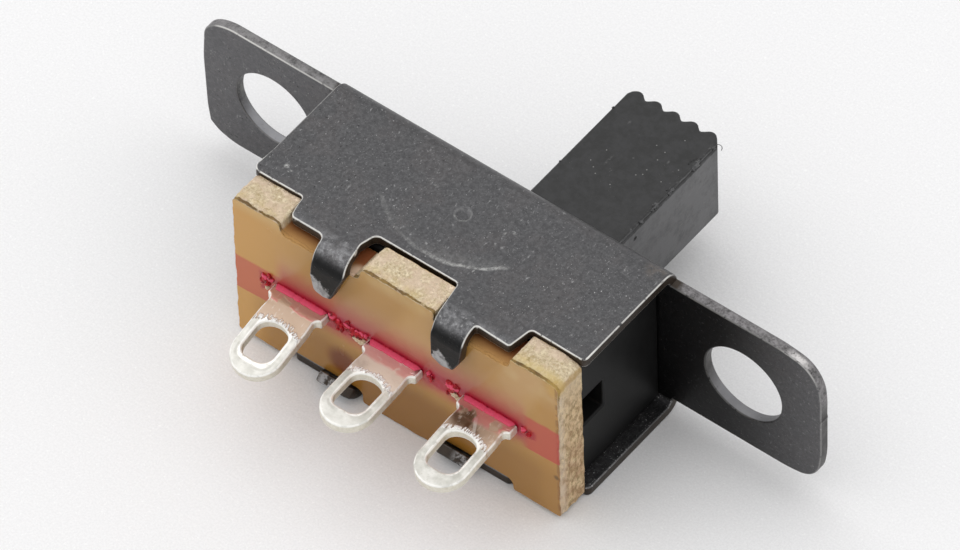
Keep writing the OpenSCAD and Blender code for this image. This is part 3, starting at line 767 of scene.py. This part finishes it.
# Above it the thin silver is warm, palest on the middle lug. The right lug is
# stained dark, with a pale streak down the middle of the stain.
haze = grain(at, 0.5, 3.0)
murk = rise(grain(at, 0.3, 3.0, 0.6), 0.32, 0.54) * spots(at, [
    ((2.58, -5.38, 0.15), 0.2, 0.46, 1.0), ((3.0, -5.62, 0.1), 0.1, 0.3, 0.9),
    ((-0.5, -5.55, 0.15), 0.05, 0.24, 0.25)])
lean = px - 0.55 * along
streak = rise(lean, 2.58, 2.62) * rise(lean, 2.72, 2.68) * rise(along, 0.35, 0.45)
shine = rise(grain(stretched(at, (1.0, 0.35, 1.0)), 0.11, 3.0, 0.6), 0.6, 0.68)
skin = layered(
    blend(haze, (0.47, 0.34, 0.24), (0.58, 0.44, 0.34)),
    (rise(px, -2.0, -1.0) * rise(px, 2.0, 1.0) * 0.9, (0.92, 0.83, 0.76)),
    (murk * 0.9, (0.13, 0.06, 0.03)),
    (streak * 0.6, (0.88, 0.82, 0.76)),
    (shine * 0.35, (0.85, 0.78, 0.72)))

# Round the eye the tin is brightest where it was coined, with a dull ring outside.
reach = along - 1.52
wide, long = across * across, reach * reach
round_eye = wide * wide * 20.5 + long * long * 6.8
coined = rise(round_eye, 1.9, 1.35) * rise(grain(at, 0.25, 2.0), 0.34, 0.46)
dull = rise(round_eye, 1.7, 2.1) * rise(round_eye, 2.9, 2.3) * rise(grain(at, 0.3, 2.0), 0.4, 0.6)
frost = layered(
    blend(rise(grain(at, 0.35, 3.0, 0.6), 0.3, 0.7), (0.47, 0.465, 0.42), (0.71, 0.70, 0.66)),
    (rise(px, 1.6, 1.2) * 0.25, (0.9, 0.88, 0.83)),
    (coined, (0.97, 0.96, 0.93)),
    (dull * 0.4, (0.40, 0.39, 0.35)),
    (rise(grain(at, 0.12, 4.0, 0.7), 0.62, 0.72) * 0.4, (0.42, 0.41, 0.34)))

# A film of lacquer has run down from the root and dried darker at its edge.
film = along + 0.24 * (grain(at, 0.4, 2.0) - 0.5)
pink = rise(film, 0.44 + 0.12 * from_left, 0.41) * rise(along, 0.0, 0.15) * flat
pink = pink * rise(grain(at, 0.55, 2.0), 0.36, 0.42)
pool_edge = pink * rise(film, 0.36 + 0.12 * from_left, 0.4 + 0.12 * from_left)
walls = blend(grain(at, 0.1, 4.0, 0.7), (0.52, 0.48, 0.37), (0.98, 0.96, 0.88))
metal = layered(
    blend(tinned, skin, frost),
    (pink * (0.3 + 0.3 * from_left), (0.74, 0.20, 0.22)),
    (pool_edge * 0.45, (0.55, 0.13, 0.13)),
    (gap * 0.2, (0.42, 0.34, 0.27)),
    (tick, (1.0, 1.0, 0.99)),
    (rise(cut, 0.3, 0.7) * (1 - rim), walls),
    # painted highlight along every rounded edge of the lugs
    (rim * (0.35 + 0.65 * rise(grain(at, 0.2, 3.0), 0.35, 0.5)), (0.98, 0.97, 0.93)),
    (rise(grain(at, 0.05, 2.0), 0.68, 0.76) * 0.5, (0.35, 0.3, 0.2)))
height = 0.35 * tick + tinned * (0.35 + 0.15 * grain(at, 0.12, 3.0)) + 0.1 * pink + 0.3 * haze
set_on(shader, Base_Color=metal, Metallic=0.45 + 0.25 * tinned - 0.45 * tick - 0.3 * rim,
       Roughness=0.24 + 0.14 * tinned + 0.1 * cut, Normal=relief(height, 0.04))
for name, place, droop, length, rim_left in zip(
        ("terminal_left", "terminal_middle", "terminal_right"), TERMINAL_PLACES,
        (12, 2, 6), (2.57, 2.68, 2.69), (0.49, 0.53, 0.5)):
    terminal(name, place, droop, length, rim_left)

# ---------------------------------------------------------------------------
# Red locking lacquer was brushed over the row of terminals after swaging. It
# stands as a glossy bead along the root of each lug and in rough crumbs of
# lacquer and torn phenolic between them.

BEAD_HALF, BEAD_REACH, BEAD_HIGH = 0.8, 0.18, 0.045
ROOT_TOP = 0.146


def tube(bm, rings):
    """Faces over a row of rings, with both ends closed."""
    wrap(bm, rings)
    bm.faces.new(rings[0])
    bm.faces.new(rings[-1][::-1])


def lump(bm, centre, size, seed, rough):
    """One uneven drop: a ball stretched to size and roughened."""
    made = bmesh.ops.create_icosphere(bm, subdivisions=3, radius=1.0)["verts"]
    for v in made:
        wobble = 1 + rough * noise.noise(v.co * 1.7 + Vector((seed * 7.3, seed, 0)))
        v.co = Vector(centre) + Vector((v.co.x * size[0], v.co.y * size[1], v.co.z * size[2])) * wobble


beads = bmesh.new()
bead_section = ((0, 0), (0, 1), (0.1, 1.2), (0.9, 0.85), (0.97, 0.7), (1, 0.4), (1, 0))
for i, (place, nicks) in enumerate(zip(TERMINAL_PLACES, ((0.38, 0.52), (0.3, 0.71), (0.44, 0.63)))):
    rows = []
    for k in range(81):
        t = k / 80
        x = place + BEAD_HALF * (2 * t - 1)
        uneven = noise.fractal(Vector((x * 2.3, i * 5.0, 0)), 1.0, 2.0, 3)
        nick = max(math.exp(-((t - middle) / 0.02) ** 2) for middle in nicks)
        taper = min(1, 14 * t + 0.3, 14 * (1 - t) + 0.3)
        reach = (BEAD_REACH + 0.02 * uneven) * taper * (1 - 0.12 * nick)
        height = BEAD_HIGH * taper * (1 - 0.4 * nick)
        rows.append([beads.verts.new((x, BOARD_REAR + 0.01 - reach * out, ROOT_TOP + height * up))
                     for out, up in bead_section])
    tube(beads, rows)
crumbs = [
    (-4.18, 0.1, 0.12, 0.12), (-4.02, 0.22, 0.09, 0.12), (-4.26, -0.02, 0.07, 0.1), (-4.1, -0.05, 0.06, 0.07),
    (-2.02, 0.12, 0.12, 0.16), (-1.86, 0.02, 0.1, 0.14), (-1.72, -0.08, 0.07, 0.13), (-1.56, 0.1, 0.12, 0.1),
    (-1.42, 0.0, 0.13, 0.14), (-1.25, 0.04, 0.1, 0.13), (-1.08, 0.1, 0.1, 0.09), (-0.95, 0.16, 0.06, 0.06),
    (1.05, 0.12, 0.07, 0.1), (1.14, 0.02, 0.05, 0.12), (1.68, 0.2, 0.09, 0.12), (1.8, 0.1, 0.12, 0.14),
    (1.93, 0.2, 0.09, 0.1), (4.06, 0.14, 0.08, 0.08), (4.22, 0.06, 0.06, 0.06)]
for i, (x, z, w, h) in enumerate(crumbs):
    lump(beads, (x, BOARD_REAR + 0.01, z), (1.1 * w, 0.1, 1.2 * h), 90 + i, 0.5)
for i in range(18):
    middle, spread = ((-1.72, 0.24), (-1.3, 0.24), (1.6, 0.4))[i % 3]
    x = middle + 2 * spread * noise.noise(Vector((i * 3.13, 0.4, 2.2)))
    z = 0.05 + 0.45 * noise.noise(Vector((i * 2.37, 5.4, 1.3)))
    lump(beads, (x, BOARD_REAR, z), (0.045, 0.05, 0.05), 200 + i, 0.8)

# It is dark red where it is thick, and pink along the top of the beads.
lacquer, shader, start = finish_for("red_lacquer")
at = place_on(start)
py, pz = parts_of(at)[1:]
wet = grain(at, 0.12, 4.0, 0.6)
thin = rise(py, -4.80, -4.85) * rise(pz, 0.14, 0.165) * rise(pz, 0.26, 0.22)
red = blend(rise(wet, 0.35, 0.65), (0.19, 0.001, 0.004), (0.54, 0.012, 0.024))
set_on(shader, Base_Color=blend(thin * 0.9, red, (0.80, 0.095, 0.18)), Roughness=0.16 + 0.2 * wet,
       Normal=relief(wet, 0.012))
shader.inputs["Specular IOR Level"].default_value = 0.22
piece("lacquer", beads, [lacquer], "switch_body")

# The torn crumbs are bare phenolic that the swaging tool has pushed up.
torn = bmesh.new()
for i, (x, z, w, h) in enumerate([
        (-1.22, -0.16, 0.14, 0.06), (-1.02, -0.12, 0.07, 0.09), (-1.12, -0.2, 0.09, 0.04),
        (1.86, -0.08, 0.1, 0.08), (1.98, -0.16, 0.07, 0.06), (-4.12, -0.18, 0.05, 0.08),
        (-2.2, -0.12, 0.05, 0.05)]):
    lump(torn, (x, BOARD_REAR - 0.02, z), (w, 0.07, h), 140 + i, 0.6)
chips, shader, start = finish_for("torn_phenolic")
at = place_on(start)
shred = grain(at, 0.08, 4.0, 0.7)
set_on(shader, Base_Color=blend(shred, (0.52, 0.34, 0.2), (0.85, 0.74, 0.55)), Roughness=0.55 + 0.2 * shred,
       Normal=relief(shred, 0.03))
piece("torn_crumbs", torn, [chips], "switch_body")

# ---------------------------------------------------------------------------
# The slider is one black moulding: a carriage that runs in the channel and a
# square knob that stands out through the slot. The end of the knob is ribbed
# for the finger, and a fine flash runs along the mould's parting edge.

KNOB_HALF, KNOB_SIDE = 1.43, 1.38
REST = 1.5  # the middle of the knob when it is stored at the end of its slot
CARRIAGE_HALF, CARRIAGE_LONG = 2.32, 6.7


def ridges():
    """The finger end of the knob as outline points: five ridges rounded by wear."""
    points = []
    crests = ((1.12, 4.94), (0.545, 4.93), (-0.03, 4.915), (-0.6, 4.91), (-1.17, 4.9))
    for i, (x, top) in enumerate(crests):
        for dx, drop in ((0.26, 0.16), (0.19, 0.11), (0.11, 0.035), (0.06, 0.01), (0, 0),
                         (-0.06, 0.01), (-0.12, 0.04), (-0.2, 0.11), (-0.27, 0.16)):
            past_corner = i == 0 and dx > 0.2 or i == 4 and dx < -0.2
            if not past_corner:
                points.append((x + dx, top - drop, 0.03))
    return points


def moulded_knob():
    """The knob, with the flash along its parting edge drawn into the mesh."""
    profile = [(KNOB_HALF, -0.5, 0), (KNOB_HALF, 4.68, 0.08), *ridges(),
               (-KNOB_HALF, 4.66, 0.1), (-KNOB_HALF, -0.5, 0)]
    knob = plate([rounded(profile)], 2 * KNOB_SIDE, 0.05)
    score(knob, 1, steps_between(0.05, 4.7, 0.05))
    score(knob, 0, [1.25, 1.3, 1.365])
    score(knob, 2, [1.16, 1.22, 1.25, 1.28, 1.31, 1.325])
    for v in knob.verts:
        x, y, z = v.co
        if x > KNOB_HALF - 0.01 and y > 0 and 1.1 < z < 1.34:
            wave = noise.fractal(Vector((y * 2.0, 3.0, 0)), 1.0, 2.0, 4)
            v.co.x -= 0.07 * math.exp(-((z - 1.265 - 0.03 * wave) / 0.04) ** 2) * (0.8 + 0.7 * wave)
        if z > 1.3 and x > KNOB_HALF - 0.06 and y > 0:
            wave = noise.fractal(Vector((y * 4.0, 9.0, 0)), 1.0, 2.0, 5)
            v.co.z += 0.025 * max(0, wave + 0.1)
            v.co.x -= 0.02 * max(0, -wave)
        v.co.x += REST
    return knob


def moulded_slider():
    """The knob with its loose fibres and crumbs of flash, and the carriage."""
    slider = moulded_knob()
    long_fibre = (
        (2.91, 4.7, 1.32), (2.95, 4.76, 1.27), (2.975, 4.8, 1.2), (2.98, 4.81, 1.12), (2.965, 4.79, 1.04))
    short_fibre = ((2.91, 4.42, 1.36), (2.94, 4.45, 1.4), (2.955, 4.5, 1.41))
    for path in (long_fibre, short_fibre):
        tube(slider, [[slider.verts.new(Vector(p) + 0.012 * Vector((math.cos(a), math.sin(a), 0)))
                       for a in (0, 2.1, 4.2)] for p in path])
    flash_edge = REST + KNOB_HALF - 0.01
    for i, (y, long, up) in enumerate((
            (3.79, 0.11, 0.02), (3.66, 0.05, 0.03), (2.77, 0.07, 0.03), (2.66, 0.04, 0.02),
            (2.12, 0.08, 0.03), (1.98, 0.05, 0.02), (1.49, 0.06, 0.02), (4.5, 0.05, 0.02))):
        lump(slider, (flash_edge, y, KNOB_SIDE - 0.03), (0.05, 1.1 * long, 2.6 * up), 60 + i, 0.9)
    for i, (x, y) in enumerate(((0.09, 4.06), (0.09, 1.85), (2.75, 3.72), (2.83, 2.7))):
        lump(slider, (x, y, KNOB_SIDE - 0.01), (0.03, 0.03, 0.02), 80 + i, 0.9)
    section = rounded([
        (-0.34, CARRIAGE_HALF, 0.1), (-0.34, -CARRIAGE_HALF, 0.1), (-3.74, -CARRIAGE_HALF, 0.12),
        (-3.74, -0.5, 0.04), (-2.6, -0.5, 0.06), (-2.6, 0.5, 0.06), (-3.74, 0.5, 0.04),
        (-3.74, CARRIAGE_HALF, 0.12)])
    carriage = plate([section], CARRIAGE_LONG, 0.06)
    carriage.transform(Matrix(((0, 0, 1, REST), (1, 0, 0, 0), (0, 1, 0, 0), (0, 0, 0, 1))))
    join(slider, carriage)
    return slider


moulded, shader, start = finish_for("black_moulding")
at = place_on(start)
px, py, pz = parts_of(at)
cloud = grain(at, 0.9, 4.0)
fine = grain(at, 0.09, 3.0, 0.6)
tone = blend(rise(grain(at, 0.3, 5.0, 0.7), 0.34, 0.66), (0.004, 0.004, 0.004), (0.016, 0.016, 0.017))

# The side with the parting edge is painted a lighter grey than the top, for
# the light it catches, and scuffed towards the ridges. The groove beside the
# edge is painted dark as shade, and the edge itself has a painted highlight.
flank = rise(px, 2.9, 2.93) * rise(py, -0.1, 0.1)
painted_side_light = rise(grain(at, 0.7, 5.0, 0.7), 0.34, 0.62)
smudge = spots(at, [((2.93, 3.94, 0.58), 0.02, 0.1, 1.0), ((2.93, 4.12, 0.52), 0.02, 0.1, 1.0)])
seam = pz + 0.16 * (grain(at, 0.2, 4.0, 0.7) - 0.5)
scuff = rise(grain(stretched(at, (1.0, 0.4, 1.0)), 0.12, 3.0, 0.65), 0.62, 0.72)
scuff = scuff + rise(py, 3.2, 4.4) * rise(grain(at, 0.16, 4.0, 0.75), 0.5, 0.66)
painted_crest_highlight = rise(px + 0.16 * (fine - 0.5), 2.82, 2.86) * rise(pz, 1.33, 1.37) * rise(py, 0.0, 0.2)
painted_crest_highlight = painted_crest_highlight * rise(fine, 0.45, 0.6) * rise(grain(at, 0.4, 2.0), 0.5, 0.6)
tone = layered(
    tone,
    # painted light on the side face
    (flank * (0.37 + 0.65 * painted_side_light + 0.25 * rise(fine, 0.36, 0.64)), (0.086, 0.086, 0.089)),
    (smudge * rise(fine, 0.6, 0.4) * 0.7, (0.02, 0.02, 0.02)),
    # painted shade in the groove beside the parting edge
    (flank * rise(seam, 1.15, 1.2) * rise(seam, 1.37, 1.33), (0.005, 0.005, 0.005)),
    (flank * scuff * 0.4 + painted_crest_highlight * 0.7, (0.13, 0.13, 0.13)))

# Four scratches, a pit with a short row of smaller ones, and dust on the upper side.
for x, y, run in ((0.72, 3.9, 0.5), (1.05, 2.62, -0.2), (1.52, 3.02, -0.8), (2.3, 3.45, -0.6)):
    scratch = spot_at(stretched(at, (1.0, run, 1.0)), (x, y * run, KNOB_SIDE), 0.01, 0.05)
    tone = blend(scratch * 0.3 * rise(fine, 0.4, 0.6), tone, (0.2, 0.2, 0.2))
small_pits = [((x, y, KNOB_SIDE), 0.015, 0.05, 0.6)
              for x, y in ((2.76, 3.8), (2.8, 3.88), (2.84, 3.95), (2.88, 4.03))]
pit = spots(at, [((2.93, 1.24, 0.95), 0.04, 0.08, 1.0), *small_pits])
dust = rise(grain(at, 0.035, 2.0, 0.5), 0.73, 0.8) * rise(grain(at, 0.8, 2.0), 0.45, 0.6)
dust = dust + spots(at, [((x, y, 1.385), 0.008, 0.024, 1.0) for x, y in (
    (2.21, 4.27), (1.73, 3.72), (2.04, 3.66), (2.04, 3.35), (2.02, 2.93), (2.03, 2.75), (2.67, 3.4),
    (2.55, 2.83), (1.9, 2.63), (0.81, 2.84), (0.69, 2.34), (0.88, 2.2), (1.05, 2.06), (1.57, 1.99))])
tone = layered(tone, (pit, (0.001, 0.001, 0.001)), (dust * 0.45, (0.5, 0.5, 0.48)))
set_on(shader, Base_Color=tone, Roughness=0.3 + 0.15 * cloud + 0.3 * pit,
       Normal=relief(fine * 0.4 + cloud - 5 * pit, 0.008))

# The carriage is a plain, darker and duller copy of the knob's moulding:
# painted shade for its place inside the channel.
shaded_copy, shader, start = finish_for("black_moulding_shaded")
dark = blend(grain(place_on(start), 0.4), (0.004, 0.004, 0.004), (0.008, 0.008, 0.008))
set_on(shader, Base_Color=dark, Roughness=0.45)
shader.inputs["Specular IOR Level"].default_value = 0.2
slider = piece("slider", moulded_slider(), [moulded, shaded_copy], "slider_body", ["slider"])
# faces inside the channel take the shaded copy
for polygon in slider.data.polygons:
    polygon.material_index = 1 if polygon.center.y < -0.3 * MM else 0

# ---------------------------------------------------------------------------
# The contact clip is folded from thin phosphor bronze. It lies in the slider
# and bridges the middle terminal and one of its neighbours.

bronze, shader, start = finish_for("spring_bronze")
at = place_on(start)
patina = grain(at, 0.5, 3.0)
set_on(shader, Base_Color=blend(patina, (0.55, 0.33, 0.16), (0.72, 0.48, 0.26)), Metallic=1.0,
       Roughness=0.28 + 0.15 * patina)
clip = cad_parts["contact_clip"]
clip.data.materials.clear()
clip.data.materials.append(bronze)

# ---------------------------------------------------------------------------
# The switch lies on its long side on a pale satin board, in an even light tent
# with a large soft lamp on its left and a weak fill panel behind on the right.

floor_mesh = bpy.data.meshes.new("floor")
bm = bmesh.new()
bmesh.ops.create_grid(bm, x_segments=1, y_segments=1, size=0.9)
bm.to_mesh(floor_mesh)
bm.free()
floor = bpy.data.objects.new("floor", floor_mesh)
floor.location = (0, 0, cad_box[0].z - BOW * MM)
bpy.context.scene.collection.objects.link(floor)
satin_board, shader, start = finish_for("pale_floor")
at = place_on(start)
pile = layered(
    blend(rise(grain(at, 0.06, 2.0, 0.6), 0.3, 0.7), (0.868, 0.865, 0.871), (0.927, 0.924, 0.930)),
    (rise(grain(at, 0.08, 2.0, 0.6), 0.62, 0.7), (0.97, 0.97, 0.97)))
set_on(shader, Base_Color=pile, Roughness=0.5, Normal=relief(grain(at, 0.18, 3.0), 0.01))
shader.inputs["Specular IOR Level"].default_value = 0.2
floor_mesh.materials.append(satin_board)

# The tent lights the switch mostly from above, and mirrors as an even white.
world = bpy.data.worlds.new("light_tent")
bpy.context.scene.world = world
world.use_nodes = True
start = Field(world.node_tree)
height = parts_of(start.node("ShaderNodeTexCoord", pick=0))[2]
ground = world.node_tree.nodes["Background"]
ground.inputs["Color"].default_value = (1, 1, 1, 1)
tent = 0.47 + 0.62 * height
rays = start.node("ShaderNodeLightPath").out.node
seen = Field(start.tree, rays.outputs["Is Camera Ray"])
for ray in ("Is Glossy Ray", "Is Transmission Ray"):
    seen = seen.math("MAXIMUM", seen, Field(start.tree, rays.outputs[ray]))
set_on(ground, Strength=tent + (0.96 - tent) * seen)


def soft_lamp(name, size, power, place):
    """A square lamp at its place in metres, turned to face the switch."""
    light = bpy.data.lights.new(name, "AREA")
    light.shape = "SQUARE"
    light.size = size
    light.energy = power
    lamp = bpy.data.objects.new(name, light)
    lamp.location = place
    lamp.rotation_mode = "QUATERNION"
    lamp.rotation_quaternion = lamp.location.to_track_quat("Z", "Y")
    bpy.context.scene.collection.objects.link(lamp)


soft_lamp("soft_box", 0.5, 0.5, (-0.25, -0.02, 0.38))
soft_lamp("fill_panel", 0.4, 0.12, (0.32, 0.2, 0.24))

lens = bpy.data.cameras.new("camera")
lens.sensor_width = 36.0
lens.lens = 518.66
lens.clip_start, lens.clip_end = 0.01, 5.0
camera = bpy.data.objects.new("camera", lens)
camera.location = (0.14114969, -0.17286482, 0.26887084)
camera.rotation_euler = [math.radians(a) for a in (39.53274, 1.3208, 37.85887)]
bpy.context.scene.collection.objects.link(camera)
bpy.context.scene.camera = camera
bpy.context.scene.view_settings.view_transform = "Standard"
